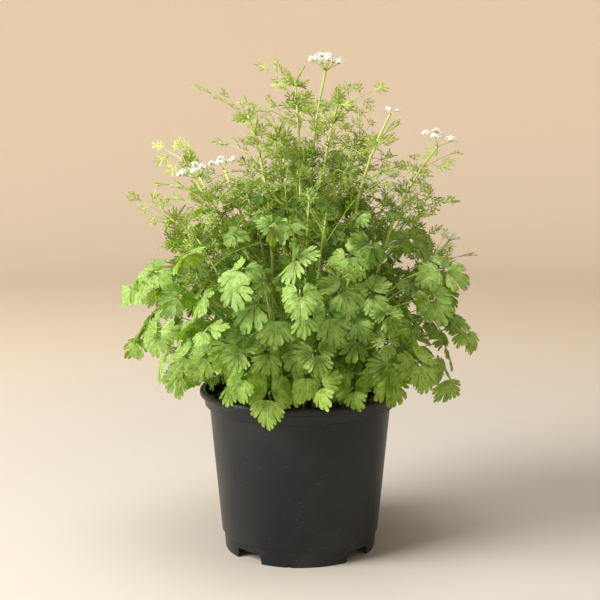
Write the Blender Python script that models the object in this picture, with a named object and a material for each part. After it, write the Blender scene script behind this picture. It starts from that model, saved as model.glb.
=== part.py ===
"""Potted coriander: a round nursery pot filled with potting mix, and a clump of coriander in it.

The clump has flower stalks with feathery side leaves, flower heads, and broad lower leaves. Everything
is in metres. The origin is on the pot's axis, in the plane that the foot stands on, and +Z is up.
Azimuths are in degrees from the front, which is -Y, towards +X.
"""

import math
from collections import namedtuple

import bmesh
import bpy
from mathutils import Matrix, Vector
from mathutils.bvhtree import BVHTree

# Left between two pieces that touch in the real thing.
GAP = 0.0003

# The pot, from the rim down.
POT_HEIGHT = 0.155
LIP_RADIUS = 0.0955
LIP_HEIGHT = 0.0070
LIP_EDGE = 0.0018
COLLAR_RADIUS = 0.0918
COLLAR_EDGE_RADIUS = 0.0905
COLLAR_HEIGHT = 0.0155
COLLAR_STEP = 0.0012
BODY_TOP_RADIUS = 0.0862
BODY_BASE_RADIUS = 0.0752
FOOT_TOP_RADIUS = 0.0734
FOOT_RADIUS = 0.0720
FOOT_HEIGHT = 0.0168
WALL = 0.0016
FLOOR_HEIGHT = 0.0120
POT_SIDES = 48

# The foot is cut away in places to let water out, and the floor has holes.
POT_TURN = 3.5
NOTCH_COUNT = 4
NOTCH_WIDTH = 0.032
NOTCH_HEIGHT = 0.0098
SLOT_OFFSET = -12.0
SLOT_WIDTH = 0.0032
SLOT_HEIGHT = 0.0026
HOLE_COUNT = 8
HOLE_RADIUS = 0.0050
HOLE_CIRCLE = 0.050
BOX_DEPTH = 0.4 * FOOT_RADIUS
ROD_DEPTH = 4 * WALL

# The potting mix stops this far below the rim.
SOIL_DEPTH = 0.011

# The clump: how far from the axis its leaves reach, how high it stands, and how wide it is at the soil.
FOLIAGE_RADIUS = 0.176
PLANT_HEIGHT = 0.465
CROWN_RADIUS = 0.062

# How far an arch runs on in its first direction, as a share of the distance it spans.
ARCH_PULL = 0.4

# Where a stalk's foot is on the crown, as a share of the crown's radius, and how much its reach adds.
STALK_FOOT = 0.10
STALK_FOOT_SPREAD = 0.62
# How far a stalk's tip is from the axis, as a share of its reach, and its leans in degrees: at its foot
# for a full reach, at its tip for none, and what a full reach adds there.
STALK_TIP_SHARE = 0.9
STALK_FOOT_LEAN = 30
STALK_TIP_LEAN = 8
STALK_TIP_SPREAD = 38
STALK_RADIUS = 0.0019
STALK_TIP_RADIUS = 0.0010
STALK_SIDES = 6
STALK_STEPS = 7
KNUCKLE = 0.0040
KNUCKLES_CLEAR = 3

HEAD_RADIUS = 0.0150
HEAD_DEPTH = 0.0110
HEAD_SIDES = 10

# The feet of the broad leaves: the share of the crown's radius for the highest leaf, and their lean.
INNER_FOOT = 0.45
PETIOLE_LEAN = 12
PETIOLE_WIDTH = 0.0022
PETIOLE_STEPS = 6
BLADE_THICKNESS = 0.0010
FEATHERY_LENGTH = 0.046
FEATHERY_PETIOLE = 0.016
FEATHERY_LEAN = 60
FEATHERY_BLADE_LEAN = 68

# Each blade from its base to its tip: shares of its length along the midrib, and half widths as shares.
BROAD_BLADE = (
    (0.04, 0.10), (0.12, 0.42), (0.26, 0.50), (0.40, 0.44),
    (0.46, 0.26), (0.64, 0.34), (0.86, 0.28), (1.0, 0.10),
)
FEATHERY_BLADE = (
    (0.10, 0.04), (0.26, 0.34), (0.36, 0.06), (0.52, 0.28), (0.62, 0.05), (0.80, 0.18), (1.0, 0.05),
)

# New pieces are turned about the pot's axis by these steps, either way, until they clear the others.
CLEARANCE = 0.0006
TURN_STEP = 1.0
MOST_TURNS = 90

# A flower stalk: its tip's azimuth, its tip's reach and height as shares of the clump's, whether a flower
# head tops it, and its feathery side leaves, each as a share of the stalk and a turn from the azimuth.
Stalk = namedtuple("Stalk", "azimuth reach height headed leaves")
STALKS = (
    Stalk(110, 0.16, 0.99, True, ((0.86, 70), (0.72, -80))),
    Stalk(-150, 0.06, 0.93, False, ((0.98, 10), (0.88, 80))),
    Stalk(60, 0.24, 0.87, False, ((0.98, 0), (0.80, 100))),
    Stalk(-62, 0.34, 0.83, False, ((0.98, -20), (0.86, 60))),
    Stalk(-145, 0.27, 0.76, False, ((0.98, 0), (0.84, -70))),
    Stalk(128, 0.42, 0.74, False, ((0.98, 15), (0.86, -60))),
    Stalk(86, 0.55, 0.86, True, ((0.90, -50), (0.76, 60))),
    Stalk(82, 0.80, 0.76, True, ((0.90, 35), (0.74, -45))),
    Stalk(96, 0.90, 0.46, True, ((0.80, 20),)),
    Stalk(-90, 0.62, 0.66, True, ((0.84, -60),)),
    Stalk(-104, 0.50, 0.68, True, ((0.84, 50),)),
    Stalk(-86, 0.76, 0.52, False, ((0.98, 0), (0.76, 50))),
    Stalk(-112, 0.74, 0.68, False, ((0.98, 0), (0.80, -50))),
    Stalk(-168, 0.55, 0.74, False, ((0.98, 0), (0.80, 60))),
    Stalk(152, 0.60, 0.66, False, ((0.98, 0), (0.80, -60))),
    Stalk(172, 0.68, 0.50, False, ((0.98, 0),)),
)

# A broad leaf: its azimuth, its tip's reach as a share of the clump's, its tip's height as a share of the
# way from the rim to the clump's top, its blade's length and how far its blade tips down from level.
Leaf = namedtuple("Leaf", "azimuth reach height length dip")
FRONT_LEAVES = (
    Leaf(-15, 0.68, -0.05, 0.052, 65),
    Leaf(3, 0.70, 0.04, 0.044, 50),
    Leaf(12, 0.82, 0.22, 0.052, 35),
    Leaf(-6, 0.63, 0.50, 0.044, 20),
    Leaf(24, 0.74, 0.40, 0.048, 25),
    Leaf(-13, 0.80, 0.12, 0.042, 50),
    Leaf(39, 0.80, 0.03, 0.052, 45),
    Leaf(30, 0.82, 0.29, 0.042, 35),
    Leaf(50, 0.88, 0.06, 0.046, 50),
    Leaf(66, 0.86, -0.02, 0.046, 75),
    Leaf(88, 1.00, 0.12, 0.042, 40),
    Leaf(66, 0.96, 0.34, 0.050, 25),
    Leaf(-88, 1.00, 0.25, 0.042, 40),
    Leaf(-70, 0.93, 0.33, 0.042, 30),
    Leaf(-75, 0.93, 0.10, 0.036, 60),
    Leaf(-53, 0.84, 0.03, 0.042, 50),
    Leaf(-40, 0.83, 0.09, 0.046, 45),
    Leaf(-24, 0.77, 0.04, 0.042, 50),
    Leaf(-25, 0.81, 0.36, 0.046, 30),
    Leaf(0, 0.94, 0.30, 0.044, 40),
)

# Tiers of broad leaves round the sides and the back.
Tier = namedtuple("Tier", "azimuths reach height length dip")
BACK_TIERS = (
    Tier((96, 136, 176, -144, -104), 0.74, 0.42, 0.046, 25),
    Tier((108, 144, 180, -142, -108), 0.94, 0.22, 0.048, 40),
    Tier((116, 152, -172, -132), 0.82, 0.02, 0.044, 60),
)


def material(name, colour, roughness):
    made = bpy.data.materials.new(name)
    made.use_nodes = True
    shader = made.node_tree.nodes["Principled BSDF"]
    shader.inputs["Base Color"].default_value = (*colour, 1.0)
    shader.inputs["Roughness"].default_value = roughness
    shader.inputs["Metallic"].default_value = 0.0
    return made


def add_object(name, bm, finish):
    mesh = bpy.data.meshes.new(name)
    bm.to_mesh(mesh)
    bm.free()
    if finish:
        mesh.materials.append(finish)
    made = bpy.data.objects.new(name, mesh)
    bpy.context.scene.collection.objects.link(made)
    return made


def outward(azimuth):
    """The level direction that points away from the pot's axis at this azimuth."""
    angle = math.radians(azimuth)
    return Vector((math.sin(angle), -math.cos(angle), 0.0))


def leaning(azimuth, angle):
    """The direction that leans outwards from upright by this angle at this azimuth."""
    angle = math.radians(angle)
    return outward(azimuth) * math.sin(angle) + Vector((0.0, 0.0, math.cos(angle)))


# The pot and what fills it.


def turned(name, profile, finish):
    """A solid of revolution. Its profile starts and ends on the axis and runs down its outer side."""
    bm = bmesh.new()
    points = [bm.verts.new((radius, 0.0, height)) for radius, height in profile]
    for start, end in zip(points, points[1:]):
        bm.edges.new((start, end))
    made = add_object(name, bm, finish)
    screw = made.modifiers.new("Turn", "SCREW")
    screw.steps = POT_SIDES
    screw.render_steps = POT_SIDES
    screw.use_merge_vertices = True
    screw.merge_threshold = 0.00005
    made.data.shade_smooth()
    return made


def inner_wall():
    """The inside of the pot, from the floor's corner up to the rim, as radii and heights."""
    collar_edge = POT_HEIGHT - COLLAR_HEIGHT
    return [
        (BODY_BASE_RADIUS - WALL, max(FLOOR_HEIGHT + WALL, FOOT_HEIGHT)),
        (BODY_TOP_RADIUS - WALL, collar_edge - COLLAR_STEP),
        (COLLAR_EDGE_RADIUS - WALL, collar_edge),
        (COLLAR_RADIUS - WALL, POT_HEIGHT),
    ]


def cutting_box(name, width, height, azimuth):
    """A box through the foot's wall, standing on the surface."""
    bm = bmesh.new()
    bmesh.ops.create_cube(bm, size=1.0)
    bmesh.ops.scale(bm, vec=(width, BOX_DEPTH, 2 * height), verts=bm.verts)
    made = add_object(name, bm, None)
    made.location = outward(azimuth) * FOOT_RADIUS
    made.rotation_euler.z = math.radians(azimuth)
    return made


def cutting_rod(name, azimuth):
    bm = bmesh.new()
    bmesh.ops.create_cone(
        bm, cap_ends=True, segments=8, radius1=HOLE_RADIUS, radius2=HOLE_RADIUS, depth=ROD_DEPTH
    )
    made = add_object(name, bm, None)
    made.location = outward(azimuth) * HOLE_CIRCLE + Vector((0.0, 0.0, FLOOR_HEIGHT + WALL / 2))
    return made


def cut(body, tool):
    tool.hide_render = True
    tool.display_type = "WIRE"
    boolean = body.modifiers.new("Cut " + tool.name, "BOOLEAN")
    boolean.operation = "DIFFERENCE"
    boolean.object = tool


def build_pot(plastic):
    lip_underside = POT_HEIGHT - LIP_HEIGHT
    collar_edge = POT_HEIGHT - COLLAR_HEIGHT
    outer = [
        (LIP_RADIUS - LIP_EDGE, POT_HEIGHT),
        (LIP_RADIUS, POT_HEIGHT - LIP_EDGE),
        (LIP_RADIUS, lip_underside + LIP_EDGE),
        (LIP_RADIUS - LIP_EDGE, lip_underside),
        (COLLAR_RADIUS, lip_underside),
        (COLLAR_EDGE_RADIUS, collar_edge),
        (BODY_TOP_RADIUS, collar_edge - COLLAR_STEP),
        (BODY_BASE_RADIUS, FOOT_HEIGHT),
        (FOOT_TOP_RADIUS, FOOT_HEIGHT),
        (FOOT_RADIUS, 0.0),
        (FOOT_RADIUS - WALL, 0.0),
        (FOOT_RADIUS - WALL, FLOOR_HEIGHT),
        (0.0, FLOOR_HEIGHT),
    ]
    floor_corner = (FOOT_RADIUS - WALL, FLOOR_HEIGHT + WALL)
    pot = turned("pot", [(0.0, FLOOR_HEIGHT + WALL), floor_corner] + inner_wall() + outer, plastic)
    for number in range(NOTCH_COUNT):
        azimuth = POT_TURN + (number + 0.5) * 360 / NOTCH_COUNT
        cut(pot, cutting_box(f"notch_cutter_{number}", NOTCH_WIDTH, NOTCH_HEIGHT, azimuth))
        on_pad = azimuth + 180 / NOTCH_COUNT + SLOT_OFFSET
        cut(pot, cutting_box(f"slot_cutter_{number}", SLOT_WIDTH, SLOT_HEIGHT, on_pad))
    for number in range(HOLE_COUNT):
        cut(pot, cutting_rod(f"hole_cutter_{number}", POT_TURN + number * 360 / HOLE_COUNT))


def build_potting_mix(finish):
    """It fills the pot up to SOIL_DEPTH below the rim, a gap away from the wall all round."""
    top = POT_HEIGHT - SOIL_DEPTH
    floor = FLOOR_HEIGHT + WALL + GAP
    wall = inner_wall()
    low, high = wall[-2], wall[-1]
    share = (top - low[1]) / (high[1] - low[1])
    edge_radius = low[0] + share * (high[0] - low[0])
    side = [(radius - GAP, height) for radius, height in [(edge_radius, top)] + wall[-2::-1]]
    floor_corner = (FOOT_RADIUS - WALL - GAP, floor)
    turned("potting_mix", [(0.0, top)] + side + [floor_corner, (0.0, floor)], finish)


# The plants.


def arch(start, leave, end, arrive, share):
    """A point on a smooth arch that leaves along one direction and arrives along another."""
    pull = ARCH_PULL * (end - start).length
    first = start + leave * pull
    second = end - arrive * pull
    rest = 1 - share
    return (
        start * rest ** 3
        + first * 3 * share * rest ** 2
        + second * 3 * share ** 2 * rest
        + end * share ** 3
    )


def rings(points, widths, heights, sideways, sides):
    """A ring of corners round each point. A ring of four is a rectangle."""
    turn, stretch = (math.pi / 4, math.sqrt(0.5)) if sides == 4 else (0.0, 0.5)
    made = []
    for index, point in enumerate(points):
        ahead = points[min(index + 1, len(points) - 1)]
        behind = points[max(index - 1, 0)]
        along = (ahead - behind).normalized()
        side = (sideways - along * sideways.dot(along)).normalized()
        up = along.cross(side)
        ring = []
        for number in range(sides):
            angle = 2 * math.pi * number / sides + turn
            across = side * math.cos(angle) * widths[index]
            above = up * math.sin(angle) * heights[index]
            ring.append(point + (across + above) * stretch)
        made.append(ring)
    return made


def skin(bm, start, made_rings):
    """Joins the rings to the starting vertices and caps the end. It returns each stretch's side faces."""
    count = len(start)
    stretches = []
    for ring in made_rings:
        verts = [bm.verts.new(corner) for corner in ring]
        first = min(
            range(count),
            key=lambda k: sum((verts[(k + i) % count].co - start[i].co).length for i in range(count)),
        )
        verts = verts[first:] + verts[:first]
        stretches.append([
            bm.faces.new((start[i], start[(i + 1) % count], verts[(i + 1) % count], verts[i]))
            for i in range(count)
        ])
        start = verts
    bm.faces.new(start)
    return stretches


def stem(bm, made_rings):
    """A new closed stem through the rings."""
    start = [bm.verts.new(corner) for corner in made_rings[0]]
    bm.faces.new(start[::-1])
    return skin(bm, start, made_rings[1:])


def leaf_rings(start, leave, base, blade_along, sideways, length, outline):
    """The rings of a petiole that arches to the blade's base, and of the flat lobed blade beyond it."""
    shares = [step / PETIOLE_STEPS for step in range(PETIOLE_STEPS + 1)]
    points = [arch(start, leave, base, blade_along, share) for share in shares]
    widths = [PETIOLE_WIDTH] * len(points)
    heights = [PETIOLE_WIDTH] * PETIOLE_STEPS + [BLADE_THICKNESS]
    for along, half_width in outline:
        points.append(base + blade_along * length * along)
        widths.append(2 * half_width * length)
        heights.append(BLADE_THICKNESS)
    return rings(points, widths, heights, sideways, 4)


def broad_leaf(leaf):
    dip = math.radians(leaf.dip)
    away = outward(leaf.azimuth)
    up = Vector((0.0, 0.0, 1.0))
    blade_along = away * math.cos(dip) - up * math.sin(dip)
    tip_height = POT_HEIGHT + leaf.height * (PLANT_HEIGHT - POT_HEIGHT)
    tip = away * leaf.reach * FOLIAGE_RADIUS + up * tip_height
    foot_radius = CROWN_RADIUS * (INNER_FOOT + (1 - INNER_FOOT) * (1 - max(leaf.height, 0.0)))
    foot = away * foot_radius + up * (POT_HEIGHT - SOIL_DEPTH + GAP + PETIOLE_WIDTH / 2)
    leave = leaning(leaf.azimuth, PETIOLE_LEAN)
    sideways = up.cross(away)
    base = tip - blade_along * leaf.length
    bm = bmesh.new()
    stem(bm, leaf_rings(foot, leave, base, blade_along, sideways, leaf.length, BROAD_BLADE))
    return bm


def stalk_with_head(stalk):
    """The stalk with its feathery side leaves, and the flower head if it has one."""
    up = Vector((0.0, 0.0, 1.0))
    away = outward(stalk.azimuth)
    foot_height = POT_HEIGHT - SOIL_DEPTH + GAP + STALK_RADIUS / 2
    foot = away * CROWN_RADIUS * (STALK_FOOT + STALK_FOOT_SPREAD * stalk.reach) + up * foot_height
    height = PLANT_HEIGHT - (HEAD_DEPTH if stalk.headed else 0.0)
    tip = away * stalk.reach * FOLIAGE_RADIUS * STALK_TIP_SHARE + up * (
        POT_HEIGHT + stalk.height * (height - POT_HEIGHT)
    )
    leave = leaning(stalk.azimuth, STALK_FOOT_LEAN * stalk.reach)
    arrive = leaning(stalk.azimuth, STALK_TIP_LEAN + STALK_TIP_SPREAD * stalk.reach)
    length = (tip - foot).length
    knuckle = KNUCKLE / length / 2
    shares = [step / STALK_STEPS for step in range(STALK_STEPS + 1)]
    for share, _ in stalk.leaves:
        clear = KNUCKLES_CLEAR * knuckle
        shares = [other for other in shares if abs(other - share) > clear or other in (0, 1)]
        shares += [share - knuckle, share + knuckle]
    shares = sorted(share for share in shares if share <= 1)
    points = [arch(foot, leave, tip, arrive, share) for share in shares]
    widths = [2 * (STALK_RADIUS + share * (STALK_TIP_RADIUS - STALK_RADIUS)) for share in shares]
    bm = bmesh.new()
    stretches = stem(bm, rings(points, widths, widths, up.cross(away), STALK_SIDES))
    for share, turn in stalk.leaves:
        stretch = stretches[shares.index(share - knuckle)]
        azimuth = stalk.azimuth + turn
        direction = leaning(azimuth, FEATHERY_LEAN)
        bm.normal_update()
        side_face = max(stretch, key=lambda face: face.normal.dot(direction))
        start = side_face.calc_center_median()
        corners = [loop.vert for loop in side_face.loops]
        bm.faces.remove(side_face)
        blade_along = leaning(azimuth, FEATHERY_BLADE_LEAN)
        base = start + direction * FEATHERY_PETIOLE
        made_rings = leaf_rings(
            start, direction, base, blade_along, up.cross(outward(azimuth)), FEATHERY_LENGTH, FEATHERY_BLADE
        )
        skin(bm, corners, made_rings[1:])
    if not stalk.headed:
        return [bm]
    head = bmesh.new()
    bmesh.ops.create_cone(
        head, cap_ends=True, segments=HEAD_SIDES,
        radius1=2 * STALK_TIP_RADIUS, radius2=HEAD_RADIUS, depth=HEAD_DEPTH,
    )
    seat = tip + arrive * (GAP + HEAD_DEPTH / 2)
    bmesh.ops.transform(
        head, matrix=Matrix.Translation(seat) @ arrive.to_track_quat("Z", "Y").to_matrix().to_4x4(),
        verts=head.verts,
    )
    return [bm, head]


def swollen(bm):
    """A search tree of the piece, grown outwards by the clearance."""
    copy = bm.copy()
    copy.normal_update()
    for vert in copy.verts:
        vert.co += vert.normal * CLEARANCE
    tree = BVHTree.FromBMesh(copy)
    copy.free()
    return tree


def settle(pieces, placed):
    """Turns the pieces about the pot's axis, a little at a time and either way, until they are clear."""
    turned_by = 0.0
    for number in range(MOST_TURNS):
        wanted = TURN_STEP * ((number + 1) // 2) * (-1) ** number
        turn = Matrix.Rotation(math.radians(wanted - turned_by), 4, "Z")
        turned_by = wanted
        for bm in pieces:
            bmesh.ops.transform(bm, matrix=turn, verts=bm.verts)
        trees = [swollen(bm) for bm in pieces]
        if not any(tree.overlap(other) for tree in trees for other in placed):
            break
    placed.extend(trees)


def build_plants(green, pale_green, white):
    placed = []
    heads = 0
    for number, stalk in enumerate(STALKS, 1):
        pieces = stalk_with_head(stalk)
        settle(pieces, placed)
        add_object(f"flower_stalk_{number:02d}", pieces[0], pale_green)
        if stalk.headed:
            heads += 1
            add_object(f"flower_head_{heads:02d}", pieces[1], white)
    leaves = list(FRONT_LEAVES)
    for tier in BACK_TIERS:
        for azimuth in tier.azimuths:
            leaves.append(Leaf(azimuth, tier.reach, tier.height, tier.length, tier.dip))
    for number, leaf in enumerate(leaves, 1):
        bm = broad_leaf(leaf)
        settle([bm], placed)
        add_object(f"broad_leaf_{number:02d}", bm, green)


def main():
    for obj in list(bpy.data.objects):
        bpy.data.objects.remove(obj)
    build_pot(material("black plastic", (0.032, 0.033, 0.035), 0.42))
    build_potting_mix(material("potting mix", (0.045, 0.030, 0.020), 0.95))
    build_plants(
        material("leaf", (0.16, 0.34, 0.06), 0.55),
        material("stalk", (0.30, 0.46, 0.10), 0.50),
        material("petals", (0.86, 0.86, 0.82), 0.60),
    )


main()
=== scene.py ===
"""The looks of the potted coriander: the moulded pot, the potting mix, and every leaf, stalk and flower."""

import random
from collections import namedtuple
from math import atan2, cos, degrees, pi, radians, sin, sqrt, tau

import bmesh
import bpy
from mathutils import Euler, Matrix, Vector, noise


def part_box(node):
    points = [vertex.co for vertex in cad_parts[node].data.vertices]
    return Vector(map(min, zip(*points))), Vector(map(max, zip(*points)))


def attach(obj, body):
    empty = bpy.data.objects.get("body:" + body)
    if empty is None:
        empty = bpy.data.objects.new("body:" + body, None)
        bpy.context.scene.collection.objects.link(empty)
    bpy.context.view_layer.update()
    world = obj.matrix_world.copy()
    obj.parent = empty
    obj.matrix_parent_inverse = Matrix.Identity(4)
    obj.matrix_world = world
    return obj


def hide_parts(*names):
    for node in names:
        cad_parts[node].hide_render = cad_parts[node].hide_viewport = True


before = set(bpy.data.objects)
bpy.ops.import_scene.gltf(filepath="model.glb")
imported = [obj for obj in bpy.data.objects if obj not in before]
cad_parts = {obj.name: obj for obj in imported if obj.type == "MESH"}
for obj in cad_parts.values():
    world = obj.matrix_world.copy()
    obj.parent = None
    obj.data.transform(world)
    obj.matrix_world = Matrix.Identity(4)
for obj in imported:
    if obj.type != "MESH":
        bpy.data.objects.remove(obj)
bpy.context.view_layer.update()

ORIGIN = (0.0, 0.0, 0.0)
UP = Vector((0.0, 0.0, 1.0))

# The pot's sizes that its box doesn't give.
LIP_HEIGHT = 0.0070
COLLAR_RADIUS = 0.0918
COLLAR_EDGE_RADIUS = 0.0905
COLLAR_HEIGHT = 0.0155
COLLAR_STEP = 0.0012
BODY_TOP_RADIUS = 0.0862
BODY_BASE_RADIUS = 0.0752
FOOT_TOP_RADIUS = 0.0734
FOOT_RADIUS = 0.0720
FOOT_HEIGHT = 0.0168
WALL = 0.0016
FLOOR_HEIGHT = 0.0120
POT_TURN = 3.5
NOTCH_COUNT = 4
NOTCH_WIDTH = 0.032
NOTCH_HEIGHT = 0.0098
SLOT_OFFSET = -12.0
SLOT_WIDTH = 0.0032
SLOT_HEIGHT = 0.0026
HOLE_COUNT = 8
HOLE_RADIUS = 0.0050
HOLE_CIRCLE = 0.050

# The clump's sizes, and how its pieces are set out, as they are in the fixed frame.
FOLIAGE_RADIUS = 0.176
PLANT_HEIGHT = 0.465
CROWN_RADIUS = 0.062
HEAD_DEPTH = 0.0110

Stalk = namedtuple("Stalk", "azimuth reach height headed leaves")
STALKS = [Stalk(*row) for row in (
    (110, 0.16, 0.99, True, ((0.86, 70), (0.72, -80))),
    (-150, 0.06, 0.93, False, ((0.98, 10), (0.88, 80))),
    (60, 0.24, 0.87, False, ((0.98, 0), (0.80, 100))),
    (-62, 0.34, 0.83, False, ((0.98, -20), (0.86, 60))),
    (-145, 0.27, 0.76, False, ((0.98, 0), (0.84, -70))),
    (128, 0.42, 0.74, False, ((0.98, 15), (0.86, -60))),
    (86, 0.55, 0.86, True, ((0.90, -50), (0.76, 60))),
    (82, 0.80, 0.76, True, ((0.90, 35), (0.74, -45))),
    (96, 0.90, 0.46, True, ((0.80, 20),)),
    (-90, 0.62, 0.66, True, ((0.84, -60),)),
    (-104, 0.50, 0.68, True, ((0.84, 50),)),
    (-86, 0.76, 0.52, False, ((0.98, 0), (0.76, 50))),
    (-112, 0.74, 0.68, False, ((0.98, 0), (0.80, -50))),
    (-168, 0.55, 0.74, False, ((0.98, 0), (0.80, 60))),
    (152, 0.60, 0.66, False, ((0.98, 0), (0.80, -60))),
    (172, 0.68, 0.50, False, ((0.98, 0),)),
)]

Leaf = namedtuple("Leaf", "azimuth reach height length dip")
FRONT_LEAVES = [Leaf(*row) for row in (
    (-15, 0.68, -0.05, 0.052, 65), (3, 0.70, 0.04, 0.044, 50), (12, 0.82, 0.22, 0.052, 35),
    (-6, 0.63, 0.50, 0.044, 20), (24, 0.74, 0.40, 0.048, 25), (-13, 0.80, 0.12, 0.042, 50),
    (39, 0.80, 0.03, 0.052, 45), (30, 0.82, 0.29, 0.042, 35), (50, 0.88, 0.06, 0.046, 50),
    (66, 0.86, -0.02, 0.046, 75), (88, 1.00, 0.12, 0.042, 40), (66, 0.96, 0.34, 0.050, 25),
    (-88, 1.00, 0.25, 0.042, 40), (-70, 0.93, 0.33, 0.042, 30), (-75, 0.93, 0.10, 0.036, 60),
    (-53, 0.84, 0.03, 0.042, 50), (-40, 0.83, 0.09, 0.046, 45), (-24, 0.77, 0.04, 0.042, 50),
    (-25, 0.81, 0.36, 0.046, 30), (0, 0.94, 0.30, 0.044, 40),
)]
Tier = namedtuple("Tier", "azimuths reach height length dip")
BACK_TIERS = (
    Tier((96, 136, 176, -144, -104), 0.74, 0.42, 0.046, 25),
    Tier((108, 144, 180, -142, -108), 0.94, 0.22, 0.048, 40),
    Tier((116, 152, -172, -132), 0.82, 0.02, 0.044, 60),
)

pot_low, pot_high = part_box("pot")
mix_low, mix_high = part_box("potting_mix")
RIM = pot_high.z
LIP_RADIUS = pot_high.x
SOIL = mix_high.z

# The flower heads: how large each is, its rays round the edge and inside, and how many flowers a cluster has.
Head = namedtuple("Head", "size outer inner flowers")
HEADS = [Head(*row) for row in (
    (1.1, 8, 4, 9), (0.5, 3, 0, 10), (1.1, 5, 1, 11), (0.6, 6, 1, 6), (1.0, 5, 1, 11), (0.9, 4, 1, 11),
)]

# Where the outside of the leafy dome is: heights, and how far the leaves reach there.
DOME = (
    (0.166, 0.100), (0.185, 0.128), (0.230, 0.147), (0.270, 0.142),
    (0.300, 0.120), (0.340, 0.086), (0.40, 0.05),
)

# How many leaves and shoots fill the dome, and how they are spread round it and up it.
SMALL_LEAVES = 430
INNER_LEAVES = 150
SHOOTS = 20
GOLDEN_ANGLE = 137.5
EVEN_TURN = 0.7548777
EVEN_RISE = 0.5698403
VEIN_SPREAD = 0.87

# Where the small leaves are: their lowest height and what the highest adds, the least gap between two,
# how far inside the dome they reach, and how long they are and how far they dip.
LEAF_LOW = 0.170
LEAF_RISE = 0.203
LEAF_SPACING = 0.020
HIGH_LEAF_SPACING = 0.029
HIGH_LEAF = 0.27
OUTER_INSET = (-0.006, 0.042)
INNER_INSET = (0.040, 0.080)
SMALL_LENGTH = (0.026, 0.044)
SMALL_DIP = (22, 78)

# Leaves are a yellower green between these heights and below them: painted light, standing in for light
# shining through the low leaves.
LOW_LEAF_HEIGHTS = (0.160, 0.225)

# How deep stems go into the potting mix, and how far above it their feet are looked for.
FOOT_DEPTH = 0.002
FOOT_SEEN = 0.0035

# Where feathery leaves grow on a stalk and on a shoot, as shares of its length.
STALK_SHARES = (0.56, 0.58, 0.71, 0.725, 0.85, 0.86)
SHOOT_SHARES = (0.66, 0.68, 0.82, 0.84, 0.94)

# The three leaflets of a leaf: which side, and size and neck as shares of the leaf's length.
LEAFLETS = ((0, 0.54, 0.10), (-1, 0.48, 0.05), (1, 0.48, 0.05))

# Where the pairs of leaflets are on a feathery leaf, and their size, as shares of its length.
FEATHERY_PAIRS = ((0.36, 0.44), (0.66, 0.42))

# A flower head's rays, how far out and how far up they end, and its flowers.
INNER_RAY = ((0.0030, 0.0058), (0.0100, 0.0114))
OUTER_RAY = ((0.0100, 0.0124), (0.0062, 0.0082))
PEDICEL_LENGTH = (0.0036, 0.0054)
FLOWER_SIZE = (0.0031, 0.0043)
RING_FLOWERS = 7

# How thick stems are at the foot and at the tip.
STALK_THICK = (0.0042, 0.0020)
SHOOT_THICK = (0.0034, 0.0016)
PETIOLE_THICK = (0.0024, 0.0013)
SMALL_PETIOLE_THICK = (0.0019, 0.0009)
LEAFLET_NECK_THICK = (0.0006, 0.0005)
RAY_THICK = (0.0010, 0.0007)
PEDICEL_THICK = (0.0005, 0.0004)

# How many pieces the small leaves are joined into, and what lies on the potting mix.
SECTORS = 8
CRUMBS = 420
CHIPS = 46
CRUMB_SIZE = (0.0010, 0.0030)
CHIP_SIZE = (0.0030, 0.0062)
MIX_STEP = 0.0035
SMOOTH_ANGLE = 50

# The stage and the camera.
STAGE_RADIUS = 1.9
STAGE_SWEEP = 0.6
WALL_TOP = 1.2
CAMERA_PLACE = (0.0, -1.2, 0.427)
CAMERA_DIP = 8.96
CAMERA_LENS = 77.2

# The blades that leaves are put together from: seed, lobes, teeth in a lobe, depth of the cuts between lobes.
BROAD_BLADES = ((1, 3, 4, 0.50), (2, 5, 3, 0.36), (3, 3, 5, 0.46))
SMALL_BLADES = ((6, 3, 4, 0.48), (7, 5, 2, 0.36), (14, 3, 3, 0.42))
SMALL_ROUNDS = ((8, 5, 3, 0.42), (9, 5, 3, 0.34))
CUT_BLADES = ((10, 3, 3, 0.66), (11, 3, 3, 0.58))
CUT_ROUNDS = ((12, 5, 2, 0.68), (13, 5, 2, 0.6))
BLADE_CUP = 0.035
BLADE_CURL = 0.20

# The corners of a petal: how far out, aside and up.
PETAL = ((0.32, 0.11, 0.10), (0.60, 0.08, 0.04), (0.46, 0.0, 0.06), (0.60, -0.08, 0.04), (0.32, -0.11, 0.10))

# Middle-sized leaves that stand out between the broad ones.
# Their reach and height are where the blade's middle is, in metres.
MIDDLING_LEAVES = [Leaf(*row) for row in (
    (-2, 0.112, 0.289, 0.046, 40), (-9, 0.127, 0.230, 0.040, 50), (7, 0.123, 0.209, 0.044, 50),
    (56, 0.142, 0.250, 0.050, 45), (-61, 0.146, 0.217, 0.044, 50), (-20, 0.128, 0.244, 0.046, 45),
    (-66, 0.140, 0.186, 0.048, 55), (-82, 0.150, 0.205, 0.052, 50), (-48, 0.135, 0.200, 0.044, 50),
    (-40, 0.138, 0.250, 0.048, 45), (-78, 0.150, 0.262, 0.050, 35), (34, 0.140, 0.196, 0.046, 55),
    (76, 0.138, 0.200, 0.050, 55), (44, 0.138, 0.225, 0.046, 45), (18, 0.118, 0.262, 0.044, 40),
    (-12, 0.110, 0.318, 0.040, 35), (30, 0.122, 0.300, 0.042, 35), (-50, 0.132, 0.290, 0.044, 30),
    (9, 0.112, 0.177, 0.042, 60), (24, 0.114, 0.173, 0.040, 60), (-33, 0.112, 0.176, 0.040, 55),
)]


# Blender's modelling tools.


def deselect():
    if bpy.context.object and bpy.context.object.mode != "OBJECT":
        mode("OBJECT")
    bpy.ops.object.select_all(action="DESELECT")


def choose(piece):
    """Makes this object the active one, and the only one selected."""
    deselect()
    piece.select_set(True)
    bpy.context.view_layer.objects.active = piece


def mode(name):
    bpy.ops.object.mode_set(mode=name)


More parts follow.
